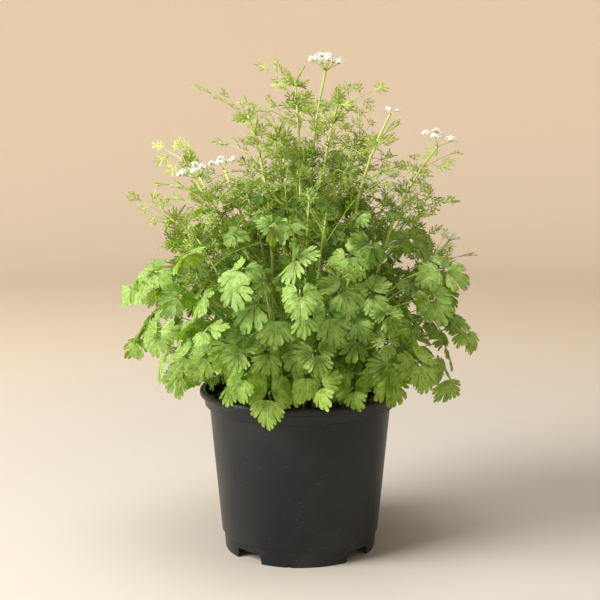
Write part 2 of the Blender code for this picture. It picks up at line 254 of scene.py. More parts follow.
def named(name):
    """Names the object that was just added."""
    piece = bpy.context.object
    piece.name = name
    piece.data.name = name
    return piece


def added(name, primitive, **settings):
    """A new object from one of Blender's primitives, at the origin unless the settings say where."""
    deselect()
    primitive(**{"location": ORIGIN, **settings})
    return named(name)


def pick(piece, test, part="verts"):
    """In edit mode, selects the vertices or edges whose middles pass the test, and nothing else."""
    bm = bmesh.from_edit_mesh(piece.data)
    for group in (bm.verts, bm.edges, bm.faces):
        for item in group:
            item.select = False
    for item in getattr(bm, part):
        if test(item.co if part == "verts" else (item.verts[0].co + item.verts[1].co) / 2):
            item.select_set(True)
    bmesh.update_edit_mesh(piece.data)


def apply_modifier(piece, kind, **settings):
    choose(piece)
    modifier = piece.modifiers.new(kind.title(), kind)
    for name, value in settings.items():
        setattr(modifier, name, value)
    bpy.ops.object.modifier_apply(modifier=modifier.name)


def apply_place(piece):
    choose(piece)
    bpy.ops.object.transform_apply(location=True, rotation=True, scale=True)


def joined(name, pieces):
    """One object from several."""
    choose(pieces[0])
    for piece in pieces:
        piece.select_set(True)
    bpy.ops.object.join()
    return named(name)


def extrude(along=ORIGIN):
    bpy.ops.mesh.extrude_region_move(TRANSFORM_OT_translate={"value": along})


def resize(size, middle=None):
    about = {} if middle is None else {"center_override": middle}
    bpy.ops.transform.resize(value=size, **about)


def drawn(at, route):
    """Extrudes the selected ring along a route of radii and heights, from the one that it is at."""
    for radius, height in route:
        extrude((0.0, 0.0, height - at[1]))
        grow = radius / at[0]
        resize((grow, grow, 1.0), (0.0, 0.0, height))
        at = (radius, height)


def face_outward():
    bpy.ops.mesh.select_all(action="SELECT")
    bpy.ops.mesh.normals_make_consistent(inside=False)


def ready(piece, node=None):
    """Puts a finished piece in its body, and hides the node that it stands for if there is one."""
    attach(piece, "root")
    if node:
        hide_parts(node)


def copy_of(template, name):
    """A copy with its own mesh."""
    made = bpy.data.objects.new(name, template.data.copy())
    bpy.context.scene.collection.objects.link(made)
    return made


# Materials.


def add_node(tree, kind, settings=None, **inputs):
    """A node with its settings and inputs. An input takes a value or another node's output."""
    node = tree.nodes.new("ShaderNode" + kind)
    for name, value in (settings or {}).items():
        setattr(node, name, value)
    for name, value in inputs.items():
        key = int(name[1:]) if name[0] == "i" and name[1:].isdigit() else name.replace("_", " ")
        if isinstance(value, bpy.types.NodeSocket):
            tree.links.new(value, node.inputs[key])
        else:
            node.inputs[key].default_value = value
    return node


def maths(tree, operation, *values):
    inputs = {f"i{number}": value for number, value in enumerate(values)}
    return add_node(tree, "Math", {"operation": operation}, **inputs).outputs[0]


def times(tree, one, other):
    return maths(tree, "MULTIPLY", one, other)


def blended(tree, share, low, high):
    """Two colours mixed. Each is a value or an output."""
    node = add_node(tree, "Mix", {"data_type": "RGBA"})
    for socket, value in ((node.inputs[0], share), (node.inputs[6], low), (node.inputs[7], high)):
        if isinstance(value, bpy.types.NodeSocket):
            tree.links.new(value, socket)
        else:
            socket.default_value = value if isinstance(value, float) else (*value, 1.0)
    return node.outputs[2]


def stepped(tree, value, low, high, out_low=0.0, out_high=1.0):
    """A smooth rise from out_low to out_high as the value goes from low to high."""
    return add_node(
        tree, "MapRange", {"interpolation_type": "SMOOTHSTEP"},
        Value=value, From_Min=low, From_Max=high, To_Min=out_low, To_Max=out_high,
    ).outputs[0]


def noisy(tree, place, scale, detail, roughness=0.5):
    settings = {"Vector": place, "Scale": scale, "Detail": detail, "Roughness": roughness}
    return add_node(tree, "TexNoise", **settings).outputs[0]


def part_of(tree, vector, axis):
    return add_node(tree, "SeparateXYZ", Vector=vector).outputs[axis]


def length_of(tree, vector):
    return add_node(tree, "VectorMath", {"operation": "LENGTH"}, i0=vector).outputs["Value"]


def new_group(name, inputs, outputs):
    group = bpy.data.node_groups.new(name, "ShaderNodeTree")
    for label, kind, value in inputs:
        socket = group.interface.new_socket(label, in_out="INPUT", socket_type="NodeSocket" + kind)
        if value is not None:
            socket.default_value = value
    for label in outputs:
        group.interface.new_socket(label, in_out="OUTPUT", socket_type="NodeSocketFloat")
    return group, group.nodes.new("NodeGroupInput").outputs, group.nodes.new("NodeGroupOutput").inputs


def speckle_group():
    """Fine specks and faint smears over a surface, as dust leaves them."""
    group, given, out = new_group(
        "dust specks", (("Vector", "Vector", None), ("Scale", "Float", 400.0), ("Amount", "Float", 0.5)),
        ("Specks", "Smears"),
    )
    fine = add_node(group, "TexVoronoi", Vector=given["Vector"], Scale=given["Scale"])
    near = stepped(group, fine.outputs["Distance"], 0.05, 0.16, 1.0, 0.0)
    chance = add_node(group, "SeparateColor", Color=fine.outputs["Color"]).outputs[0]
    kept = maths(group, "GREATER_THAN", chance, maths(group, "SUBTRACT", 1.0, given["Amount"]))
    group.links.new(times(group, near, kept), out["Specks"])
    group.links.new(stepped(group, noisy(group, given["Vector"], 14.0, 5.0, 0.65), 0.42, 0.72), out["Smears"])
    return group


def vein_group():
    """Veins that fan out from a blade's base. The vector is the blade laid flat, its tip along Y."""
    sizes = (("Vector", "Vector", None), ("Spread", "Float", VEIN_SPREAD), ("Width", "Float", 0.02))
    group, given, out = new_group("leaf veins", sizes, ("Main", "Fine"))
    split = add_node(group, "SeparateXYZ", Vector=given["Vector"])
    angle = maths(group, "ARCTAN2", split.outputs[0], split.outputs[1])
    length = length_of(group, given["Vector"])

    def spokes(spread, width, start, end):
        turns = maths(group, "DIVIDE", angle, spread)
        off = times(group, maths(group, "SUBTRACT", turns, maths(group, "ROUND", turns)), spread)
        away = maths(group, "ABSOLUTE", times(group, maths(group, "SINE", off), length))
        return times(group, stepped(group, away, 0.0, width, 1.0, 0.0), stepped(group, length, start, end))

    group.links.new(spokes(given["Spread"], given["Width"], -0.02, 0.02), out["Main"])
    third = maths(group, "DIVIDE", given["Spread"], 3.0)
    group.links.new(spokes(third, times(group, given["Width"], 0.6), 0.25, 0.45), out["Fine"])
    return group


def new_material(name, roughness=0.5):
    """A material, its tree and shader, and the place on the object that its patterns follow."""
    made = bpy.data.materials.new(name)
    made.use_nodes = True
    tree = made.node_tree
    shader = tree.nodes["Principled BSDF"]
    shader.inputs["Roughness"].default_value = roughness
    return made, tree, shader, add_node(tree, "TexCoord").outputs["Object"]


def dressed(tree, shader, colour, relief, strength, distance):
    """Gives a shader its colour and its fine relief."""
    tree.links.new(colour, shader.inputs["Base Color"])
    bump = add_node(tree, "Bump", Height=relief, Strength=strength, Distance=distance)
    tree.links.new(bump.outputs[0], shader.inputs["Normal"])


def lit_through(tree, shader, share, colour):
    """Lets light through from behind."""
    through = add_node(tree, "BsdfTranslucent", Color=colour)
    mixed = add_node(tree, "MixShader", i0=share, i1=shader.outputs[0], i2=through.outputs[0])
    tree.links.new(mixed.outputs[0], tree.nodes["Material Output"].inputs[0])


def flat_place_youth_and_shade(tree):
    """Where a place is on the flat blade or round the stem, and how young its piece is, lowered as painted
    shade for pieces inside the clump.
    """
    flat = add_node(tree, "UVMap", {"uv_map": "surface"}).outputs[0]
    return flat, add_node(tree, "Attribute", {"attribute_name": "youth_and_shade"}).outputs["Fac"]


def plastic():
    """Black moulded plastic: satin, a little dusty, with rubbed patches and fine scratches."""
    made, tree, shader, place = new_material("black plastic")
    specks = add_node(tree, "Group", {"node_tree": SPECKS}, Vector=place, Scale=330.0, Amount=0.14)
    stretched = add_node(tree, "Mapping", Vector=place, Scale=(60.0, 60.0, 900.0)).outputs[0]
    low_dust = stepped(tree, part_of(tree, place, 2), 0.0, 0.045, 0.45, 0.0)
    dust = times(tree, specks.outputs["Smears"], maths(tree, "ADD", low_dust, 0.25))
    colour = blended(tree, dust, (0.0070, 0.0078, 0.0098), (0.040, 0.041, 0.045))
    colour = blended(tree, times(tree, specks.outputs["Specks"], 0.55), colour, (0.30, 0.28, 0.25))
    shader.inputs["Specular IOR Level"].default_value = 0.37
    shader.inputs["Specular Tint"].default_value = (0.86, 0.94, 1.0, 1.0)
    rough = stepped(tree, specks.outputs["Smears"], 0.0, 1.0, 0.38, 0.50)
    tree.links.new(rough, shader.inputs["Roughness"])
    dressed(tree, shader, colour, noisy(tree, stretched, 1.0, 3.0), 0.06, 0.0004)
    return made


def blade_finish(name, dark, bright, pale, behind, veins, thinness):
    """A leaf's blade: satin green, paler along its veins, with a painted highlight and painted shade on its
    crinkles, and lit through from behind.
    """
    made, tree, shader, place = new_material(name, 0.48)
    flat, youth_and_shade = flat_place_youth_and_shade(tree)
    vein = add_node(tree, "Group", {"node_tree": VEINS}, Vector=flat)
    patches = stepped(tree, noisy(tree, place, 95.0, 4.0, 0.6), 0.3, 0.7, -0.22, 0.22)
    share = maths(tree, "ADD", youth_and_shade, patches)
    share = add_node(tree, "Clamp", Value=share).outputs[0]
    # Low leaves are painted a saturated yellow-green: painted light shining through them.
    low = (bright[0] * 0.98, bright[1] * 1.06, bright[2] * 0.15)
    lowness = stepped(tree, part_of(tree, place, 2), *LOW_LEAF_HEIGHTS, 0.85, 0.0)
    colour = blended(tree, share, dark, blended(tree, lowness, bright, low))
    paleness = stepped(tree, share, 0.1, 0.9, 0.15, 1.0)
    fine_share = times(tree, vein.outputs["Fine"], veins * 0.6)
    line_share = maths(tree, "MAXIMUM", times(tree, vein.outputs["Main"], veins), fine_share)
    colour = blended(tree, times(tree, line_share, paleness), colour, pale)
    # The crinkle is the leaf's fine relief. Its crowns are painted paler, partly the leaf's own pale mottling
    # and partly a painted highlight.
    crinkle = noisy(tree, place, 330.0, 3.0, 0.55)
    mottle_and_sheen = times(tree, stepped(tree, crinkle, 0.42, 0.68, 0.0, 0.20), paleness)
    colour = blended(tree, mottle_and_sheen, colour, pale)
    shader.inputs["Specular IOR Level"].default_value = 0.26
    net = add_node(tree, "TexVoronoi", {"feature": "DISTANCE_TO_EDGE"}, Vector=place, Scale=430.0).outputs[0]
    threads = stepped(tree, net, 0.0, 0.16, 1.0, 0.0)
    colour = blended(tree, times(tree, times(tree, threads, 0.28), paleness), colour, pale)
    # Painted shade in the dips of the crinkled relief.
    colour = blended(tree, stepped(tree, crinkle, 0.34, 0.5, 0.35, 0.0), colour, dark)
    fine = times(tree, noisy(tree, place, 900.0, 2.0), 0.25)
    grain = maths(tree, "ADD", fine, times(tree, crinkle, 2.0))
    grain = maths(tree, "SUBTRACT", grain, times(tree, threads, 0.5))
    dressed(tree, shader, colour, maths(tree, "SUBTRACT", grain, line_share), 0.5, 0.0004)
    lit = blended(tree, share, behind, (behind[0] * 1.5, behind[1] * 1.2, behind[2]))
    lit_through(tree, shader, thinness, lit)
    return made


def stem_finish():
    """A ribbed stem: light green, streaked along its length, with a red tint in places."""
    made, tree, shader, place = new_material("stem", 0.42)
    flat, youth_and_shade = flat_place_youth_and_shade(tree)
    ribs = maths(tree, "SINE", times(tree, part_of(tree, flat, 0), 44.0))
    colour = blended(tree, youth_and_shade, (0.14, 0.28, 0.012), (0.56, 0.66, 0.17))
    colour = blended(tree, stepped(tree, ribs, -1.0, 1.0, 0.0, 0.25), colour, (0.66, 0.74, 0.30))
    red = times(tree, stepped(tree, noisy(tree, place, 60.0, 3.0), 0.60, 0.80), 0.35)
    dressed(tree, shader, blended(tree, red, colour, (0.30, 0.12, 0.05)), ribs, 0.3, 0.0002)
    return made


def petal_finish():
    made, tree, shader, place = new_material("petals", 0.6)
    tone = stepped(tree, noisy(tree, place, 260.0, 2.0), 0.35, 0.75)
    colour = blended(tree, tone, (0.92, 0.92, 0.86), (0.84, 0.78, 0.84))
    tree.links.new(colour, shader.inputs["Base Color"])
    lit_through(tree, shader, 0.2, (0.85, 0.85, 0.75, 1.0))
    return made


def soil_finish():
    made, tree, shader, place = new_material("potting mix", 0.92)
    lumps = add_node(tree, "TexVoronoi", Vector=place, Scale=420.0)
    fleck = add_node(tree, "SeparateColor", Color=lumps.outputs["Color"]).outputs[0]
    colour = blended(tree, noisy(tree, place, 130.0, 6.0, 0.7), (0.012, 0.008, 0.005), (0.055, 0.035, 0.020))
    colour = blended(tree, stepped(tree, fleck, 0.88, 0.93), colour, (0.20, 0.13, 0.07))
    dressed(tree, shader, colour, lumps.outputs["Distance"], 0.8, 0.001)
    return made


def bark_finish():
    made, tree, shader, place = new_material("bark", 0.8)
    grain = add_node(tree, "Mapping", Vector=place, Scale=(1200.0, 260.0, 260.0)).outputs[0]
    tone = noisy(tree, grain, 1.0, 4.0)
    dressed(tree, shader, blended(tree, tone, (0.16, 0.085, 0.035), (0.50, 0.36, 0.18)), tone, 0.6, 0.0008)
    return made


SPECKS = speckle_group()
VEINS = vein_group()
PLASTIC = plastic()
# Each blade's third colour is pale: for its veins, and for the painted highlight on its raised crinkles.
BROAD = blade_finish(
    "broad blade", (0.036, 0.120, 0.001), (0.35, 0.57, 0.075), (0.64, 0.73, 0.46), (0.28, 0.52, 0.001),
    veins=0.7, thinness=0.32,
)
FEATHERY = blade_finish(
    "feathery blade", (0.070, 0.16, 0.004), (0.54, 0.65, 0.15), (0.72, 0.78, 0.38), (0.30, 0.48, 0.004),
    veins=0.25, thinness=0.28,
)
STEM = stem_finish()
PETALS = petal_finish()
SOIL_MIX = soil_finish()
BARK = bark_finish()


# The pot.


def outward(azimuth):
    angle = radians(azimuth)
    return Vector((sin(angle), -cos(angle), 0.0))


def between(one, other, angle):
    """The direction an angle away from one, towards the other."""
    return one * cos(angle) + other * sin(angle)


def leaning(azimuth, angle):
    return between(UP, outward(azimuth), radians(angle))


def cut_away(piece, *cutters):
    for cutter in cutters:
        apply_place(cutter)
        apply_modifier(piece, "BOOLEAN", operation="DIFFERENCE", solver="EXACT", object=cutter)
        bpy.data.objects.remove(cutter)


def make_pot():
    """A ring at the foot is drawn up the outside, over the lip and down the inside, then closed."""
    collar_edge = RIM - COLLAR_HEIGHT
    under_lip = RIM - LIP_HEIGHT
    route = (
        (FOOT_TOP_RADIUS, FOOT_HEIGHT - 0.0004),
        (BODY_BASE_RADIUS - 0.0004, FOOT_HEIGHT),
        (BODY_BASE_RADIUS, FOOT_HEIGHT + 0.0006),
        (BODY_TOP_RADIUS - 0.0003, collar_edge - COLLAR_STEP - 0.003),
        (BODY_TOP_RADIUS, collar_edge - COLLAR_STEP),
        (COLLAR_EDGE_RADIUS - 0.0008, collar_edge - 0.0003),
        (COLLAR_EDGE_RADIUS, collar_edge + 0.0006),
        (COLLAR_RADIUS - 0.0002, under_lip - 0.0008),
        (COLLAR_RADIUS + 0.0006, under_lip),
        (LIP_RADIUS - 0.0012, under_lip + 0.0004),
        (LIP_RADIUS - 0.0002, under_lip + 0.0018),
        (LIP_RADIUS, under_lip + 0.0034),
        (LIP_RADIUS - 0.0003, RIM - 0.0018),
        (LIP_RADIUS - 0.0012, RIM - 0.0005),
        (LIP_RADIUS - 0.0022, RIM),
        (LIP_RADIUS - 0.0034, RIM - 0.0002),
        (COLLAR_RADIUS - WALL + 0.0002, RIM - 0.0012),
        (COLLAR_RADIUS - WALL, RIM - 0.0030),
        (COLLAR_EDGE_RADIUS - WALL, collar_edge),
        (BODY_TOP_RADIUS - WALL, collar_edge - COLLAR_STEP),
        (BODY_BASE_RADIUS - WALL, FOOT_HEIGHT),
        (FOOT_RADIUS - WALL, FLOOR_HEIGHT + WALL),
    )
    pot = added("nursery_pot", bpy.ops.mesh.primitive_circle_add, vertices=144, radius=FOOT_RADIUS)
    mode("EDIT")
    bpy.ops.mesh.select_all(action="SELECT")
    drawn((FOOT_RADIUS, 0.0), route)
    bpy.ops.mesh.edge_face_add()
    pick(pot, lambda p: abs(p.z) < 1e-6, "edges")
    drawn((FOOT_RADIUS, 0.0), ((FOOT_RADIUS - WALL, 0.0), (FOOT_RADIUS - WALL, FLOOR_HEIGHT)))
    bpy.ops.mesh.edge_face_add()
    face_outward()
    mode("OBJECT")
    cutters = []
    for number in range(NOTCH_COUNT):
        azimuth = POT_TURN + (number + 0.5) * 360 / NOTCH_COUNT
        cutters.append(notch_cutter(azimuth, NOTCH_WIDTH, NOTCH_HEIGHT, 0.0022))
        azimuth += 180 / NOTCH_COUNT + SLOT_OFFSET
        cutters.append(notch_cutter(azimuth, SLOT_WIDTH, SLOT_HEIGHT, 0.0004))
    for number in range(HOLE_COUNT):
        azimuth = POT_TURN + number * 360 / HOLE_COUNT
        place = outward(azimuth) * HOLE_CIRCLE + UP * (FLOOR_HEIGHT + WALL / 2)
        cutters.append(added(
            "hole", bpy.ops.mesh.primitive_cylinder_add,
            vertices=32, radius=HOLE_RADIUS, depth=4 * WALL, location=place,
        ))
    cut_away(pot, *cutters)
    choose(pot)
    bpy.ops.object.shade_smooth_by_angle(angle=radians(SMOOTH_ANGLE))
    pot.data.materials.append(PLASTIC)
    ready(pot, "pot")


def notch_cutter(azimuth, width, height, slope):
    """A block that is a little narrower at its top, so that the notch has sloping ends."""
    block = added("notch", bpy.ops.mesh.primitive_cube_add, size=1.0, location=outward(azimuth) * FOOT_RADIUS)
    block.scale = (width, 0.3 * FOOT_RADIUS, 2 * height)
    block.rotation_euler.z = radians(azimuth)
    mode("EDIT")
    pick(block, lambda p: p.z > 0.4)
    narrower = (1 - 2 * slope / width, 1.0, 1.0)
    bpy.ops.transform.resize(value=narrower, orient_type="LOCAL", center_override=block.location)
    mode("OBJECT")
    return block


# The potting mix.


def make_potting_mix(chance):
    """A disc of crumbly mix, with bark chips and grit lying on it."""
    radius = mix_high.x
    mix = added(
        "potting_mix_top", bpy.ops.mesh.primitive_circle_add,
        vertices=96, radius=0.01, fill_type="TRIFAN", location=(0.0, 0.0, SOIL - 0.001),
    )
    mode("EDIT")
    edge = 0.01
    while edge < radius - 0.004:
        pick(mix, lambda p: p.xy.length > edge * 0.995, "edges")
        extrude()
        wider = min(edge + MIX_STEP, radius - 0.0022)
        resize((wider / edge, wider / edge, 1.0), (0.0, 0.0, SOIL))
        edge = wider
    pick(mix, lambda p: p.xy.length > edge * 0.995, "edges")
    extrude((0.0, 0.0, mix_low.z - SOIL + 0.001))
    small = (FOOT_RADIUS - WALL - 0.0006) / edge
    resize((small, small, 1.0), (0.0, 0.0, mix_low.z))
    bpy.ops.mesh.edge_face_add()
    mode("OBJECT")
    for vert in mix.data.vertices:
        if vert.co.z > SOIL - 0.01:
            vert.co.z += 0.0026 * noise.noise(vert.co * 150.0) + 0.0012 * noise.noise(vert.co * 520.0)
    mix.data.materials.append(SOIL_MIX)
    mix.data.shade_smooth()
    crumb = make_crumb()
    crumbs = []
    for _ in range(CRUMBS):
        far = radius * sqrt(chance.uniform(0.05, 0.92))
        size = chance.uniform(*CRUMB_SIZE)
        crumbs.append(scattered(crumb, chance, far, size, SOIL_MIX, chance.uniform(0.5, 1.0)))
    for _ in range(CHIPS):
        far = radius * sqrt(chance.uniform(0.45, 0.93))
        size = chance.uniform(*CHIP_SIZE)
        crumbs.append(scattered(crumb, chance, far, size, BARK, chance.uniform(0.3, 0.5)))
    crumbs.append(placed_chip(crumb, outward(-63) * 0.078, 0.0095))
    bpy.data.objects.remove(crumb)
    ready(joined("potting_mix_and_chips", [mix] + crumbs), "potting_mix")


def make_crumb():
    crumb = added("crumb", bpy.ops.mesh.primitive_ico_sphere_add, subdivisions=1, radius=1.0)
    mode("EDIT")
    pick(crumb, lambda p: p.z > 0.3)
    resize((0.8, 0.6, 0.7))
    mode("OBJECT")
    return crumb


def scattered(crumb, chance, far, size, finish, flatness):
    azimuth = chance.uniform(0, 360)
    made = copy_of(crumb, "crumb_copy")
    turn = Euler([chance.uniform(0, 6.28) for _ in range(3)]).to_matrix().to_4x4()
    made.data.transform(
        Matrix.Translation(outward(azimuth) * far + UP * SOIL)
        @ Matrix.Diagonal((1.0, 1.0, flatness, 1.0))
        @ turn
        @ Matrix.Diagonal((size * 1.4, size, size * 0.7, 1.0))
    )
    made.data.materials.append(finish)
    return made


def placed_chip(crumb, place, size):
    """The one large chip of pale bark that lies against the wall at the front left."""
    made = copy_of(crumb, "chip_copy")
    made.data.transform(
        Matrix.Translation(place + UP * (SOIL + 0.005))
        @ Euler((0.5, 0.4, 0.9)).to_matrix().to_4x4()
        @ Matrix.Diagonal((size, size * 0.5, size * 0.28, 1.0))
    )
    made.data.materials.append(BARK)
    return made


# Stems and blades, modelled once.


def set_surface(piece, lay):
    """Gives each corner its place on the surface, from its vertex's place and number."""
    layer = piece.data.uv_layers.new(name="surface")
    for corner in piece.data.loops:
        number = corner.vertex_index
        layer.data[corner.index].uv = lay(piece.data.vertices[number].co, number)


def make_stem(sides, rings):
    """A straight stem from 0 to 1 up Z, one across. Copies are laid along their own arches."""
    stem = added(
        f"stem_{sides}_{rings}", bpy.ops.mesh.primitive_circle_add,
        vertices=sides, radius=0.5, fill_type="NGON",
    )
    mode("EDIT")
    bpy.ops.mesh.select_all(action="SELECT")
    for _ in range(rings):
        extrude((0.0, 0.0, 1.0 / rings))
    face_outward()
    mode("OBJECT")
    set_surface(stem, lambda p, _: (atan2(p.x, p.y) / tau, p.z))
    stem.data.materials.append(STEM)
    stem.data.shade_smooth()
    return stem


def fan_reach(count, lobes, teeth, cut, tooth, narrow, edge):
    """How far a lobed blade reaches where count teeth have been passed on the way round it.

    The cuts are full where edge is 1, and fade as it goes to 0.
    """
    notch = round(count)
    aside = abs(count - notch)
    depth = cut if notch % teeth == 0 and 0 < notch < lobes * teeth else tooth
    share = abs(count / lobes / teeth * 2 - 1)
    in_lobe = abs(count / teeth % 1 * 2 - 1)
    envelope = cos(radians(84) * share) ** 0.55 * (1 - 0.20 * in_lobe ** 2)
    closing = min(1.0, (1 - share) * lobes * teeth / 1.6) ** 0.7
    rounded = 1 - edge * (depth * max(0.0, 1 - aside / narrow) + 0.08 * (1 - 2 * aside) ** 2)
    return rounded * envelope * (0.04 + 0.96 * closing)


def make_blade(name, seed, lobes, teeth, cut, steps, rings, fan, tooth):
    """A lobed blade one long: its base at the origin, its tip along +Y, its upper side up."""
    chance = random.Random(seed)
    lobe_sizes = [chance.uniform(0.90, 1.04) for _ in range(lobes)]
    tooth_sizes = [chance.uniform(0.93, 1.04) for _ in range(lobes * teeth)]
    phase = chance.uniform(0.0, 6.28)
    blade = added(
        name, bpy.ops.mesh.primitive_circle_add,
        vertices=lobes * teeth * steps, radius=1.0 / rings, fill_type="TRIFAN",
    )
    mode("EDIT")
    for ring in range(1, rings):
        pick(blade, lambda p: p.length > (ring - 0.2) / rings, "edges")
        extrude()
        resize(((ring + 1) / ring, (ring + 1) / ring, 1.0), ORIGIN)
    mode("OBJECT")
    flat = {}
    for vert in blade.data.vertices:
        out = vert.co.xy.length
        count = (atan2(vert.co.x, vert.co.y) / pi + 1) / 2 * lobes * teeth
        number = min(int(count + 1e-6), lobes * teeth - 1)
        reach = out * fan_reach(count, lobes, teeth, cut, tooth, 0.30, out ** 1.2)
        reach *= lobe_sizes[number // teeth]
        if out > 0.9:
            reach *= tooth_sizes[number]
        warped = count - 0.10 * sin(tau * count)
        angle = (warped / lobes / teeth * 2 - 1) * radians(fan)
        across, along = sin(angle) * reach, cos(angle) * reach
        fold = abs(count / teeth % 1 * 2 - 1)
        rise = BLADE_CUP * reach * fold ** 1.3 - BLADE_CURL * reach ** 2
        rise += 0.08 * reach * sin(2.6 * angle + phase)
        rise += 0.02 * out ** 4 * sin(pi * count + 2 * phase)
        lobe_angle = (count / teeth - lobes / 2) * VEIN_SPREAD
        flat[vert.index] = (sin(lobe_angle) * reach, cos(lobe_angle) * reach)
        vert.co = (across, along, rise)
    set_surface(blade, lambda _, number: flat[number])
    blade.data.materials.append(BROAD)
    blade.data.shade_smooth()
    return blade


def make_finger():
    """A narrow flat finger one long, with a blunt point, along +Y."""
    finger = added("finger", bpy.ops.mesh.primitive_grid_add, x_subdivisions=1, y_subdivisions=1, size=1.0)
    mode("EDIT")
    bpy.ops.mesh.select_all(action="SELECT")
    resize((0.17, 0.42, 1.0))
    bpy.ops.transform.translate(value=(0.0, 0.21, 0.0))
    for step, width in ((0.38, 1.45), (0.20, 0.30)):
        high = max(vert.co.y for vert in bmesh.from_edit_mesh(finger.data).verts)
        pick(finger, lambda p: p.y > high - 0.01, "edges")
        extrude((0.0, step, 0.0))
        resize((width, 1.0, 1.0))
    mode("OBJECT")
    set_surface(finger, lambda p, _: p.xy)
    finger.data.materials.append(FEATHERY)
    finger.data.shade_smooth()
    return finger


def laid_finger(finger, start, angle, size, chance):
    made = copy_of(finger, "finger_copy")
    made.data.transform(
        Matrix.Translation((start[0], start[1], 0.0))
        @ Matrix.Rotation(-angle, 4, "Z")
        @ Euler((chance.uniform(-0.3, 0.3), chance.uniform(-0.5, 0.5), 0.0)).to_matrix().to_4x4()
        @ Matrix.Scale(size, 4)
    )
    return made


def make_feather(name, finger, stem, seed):
    """A finely cut leaflet one long: a rib with forked fingers in pairs and one at its end."""
    chance = random.Random(seed)
    parts = []
    for turn, start, size in (
        (0, 0.58, 0.42), (1, 0.54, 0.36), (-1, 0.60, 0.34), (1, 0.30, 0.46), (-1, 0.36, 0.44),
        (1, 0.10, 0.34), (-1, 0.14, 0.38),
    ):
        angle = radians(chance.uniform(36, 56)) * turn
        size *= chance.uniform(0.9, 1.15)
        parts.append(laid_finger(finger, (0.0, start), angle, size, chance))
        if size > 0.38 and turn:
            fork = (sin(angle) * size * 0.42, start + cos(angle) * size * 0.42)
            parts.append(laid_finger(finger, fork, angle - 0.75 * turn, size * 0.52, chance))
            parts.append(laid_finger(finger, fork, angle + 0.70 * turn, size * 0.46, chance))
    rib = copy_of(stem, "rib_copy")
    rib.data.transform(Matrix.Rotation(-pi / 2, 4, "X") @ Matrix.Diagonal((0.06, 0.06, 0.7, 1.0)))
    return joined(name, [parts[0], rib] + parts[1:])


def set_youth_and_shade(piece, youth_and_shade):
    """How young this leaf or stem is, from 0 to 1, for its colour, lowered as painted shade for pieces inside
    the clump.
    """
    values = piece.data.attributes.new("youth_and_shade", "FLOAT", "POINT").data
    for item in values:
        item.value = youth_and_shade


def arch(start, leave, end, arrive, share):
    pull = 0.4 * (end - start).length
    first = start + leave * pull
    second = end - arrive * pull
    rest = 1 - share
    return (
        start * rest ** 3
        + first * 3 * share * rest ** 2
        + second * 3 * share ** 2 * rest
        + end * share ** 3
    )


def laid_stem(template, route, widths, youth_and_shade):
    """A copy of a straight stem, laid along a route that gives a place for each share of its length."""
    made = copy_of(template, "stem_copy")
    thick, thin = widths
    frames = {}
    for vert in made.data.vertices:
        share = round(vert.co.z, 4)
        if share not in frames:
            step = 0.01
            along = (route(min(share + step, 1.0)) - route(max(share - step, 0.0))).normalized()
            side = along.orthogonal() if abs(along.x) > 0.95 else along.cross(Vector((1.0, 0.0, 0.0)))
            side.normalize()
            frames[share] = (route(share), side, along.cross(side), thick + (thin - thick) * share)
        place, side, other, width = frames[share]
        vert.co = place + (side * vert.co.x + other * vert.co.y) * width
    set_youth_and_shade(made, youth_and_shade)
    return made


def straight_stem(template, start, end, widths, youth_and_shade):
    return laid_stem(template, lambda share: start.lerp(end, share), widths, youth_and_shade)


def laid_blade(template, base, along, up, length, youth_and_shade, droop=0.0, twist=0.0):
    """A copy of a blade, set at its base, bent down along its length and twisted about it."""
    made = copy_of(template, "blade_copy")
    side = along.cross(up).normalized()
    above = side.cross(along).normalized()
    for vert in made.data.vertices:
        across, ahead, rise = vert.co
        turn = twist * ahead
        rise, across = rise * cos(turn) + across * sin(turn), across * cos(turn) - rise * sin(turn)
        bend = droop * ahead
        forward = ahead if abs(bend) < 1e-4 else sin(bend) / droop + rise * sin(bend)
        drop = 0.0 if abs(bend) < 1e-4 else (1 - cos(bend)) / droop
        vert.co = base + (side * across + along * forward + above * (rise - drop)) * length
    set_youth_and_shade(made, youth_and_shade)
    return made


# Whole leaves, stalks and flowers.


def leafy(leaflets, rounds, junction, along, above, length, youth_and_shade, chance, three=0.85):
    """A leaf's blade: three leaflets from one point, or a single round blade."""
    side = along.cross(above).normalized()
    if chance.random() > three:
        return [laid_blade(
            chance.choice(rounds), junction - along * length * 0.14, along, above, length * 0.66, youth_and_shade,
            droop=chance.uniform(0.1, 0.6), twist=chance.uniform(-0.4, 0.4),
        )]
    parts = []
    for hand, size, neck in LEAFLETS:
        angle = radians(chance.uniform(88, 122)) * hand + radians(chance.uniform(-10, 10))
        lift = above * (chance.uniform(-0.30, 0.22) if hand else 0.0)
        heading = (between(along, side, angle) + lift).normalized()
        tilted = above + side * chance.uniform(-0.28, 0.28) + along * chance.uniform(-0.1, 0.3) * abs(hand)
        parts.append(laid_blade(
            chance.choice(leaflets), junction + heading * length * neck, heading, tilted,
            length * size * chance.uniform(0.9, 1.08), youth_and_shade,
            droop=chance.uniform(0.1, 0.9), twist=chance.uniform(-0.5, 0.5),
        ))
    return parts


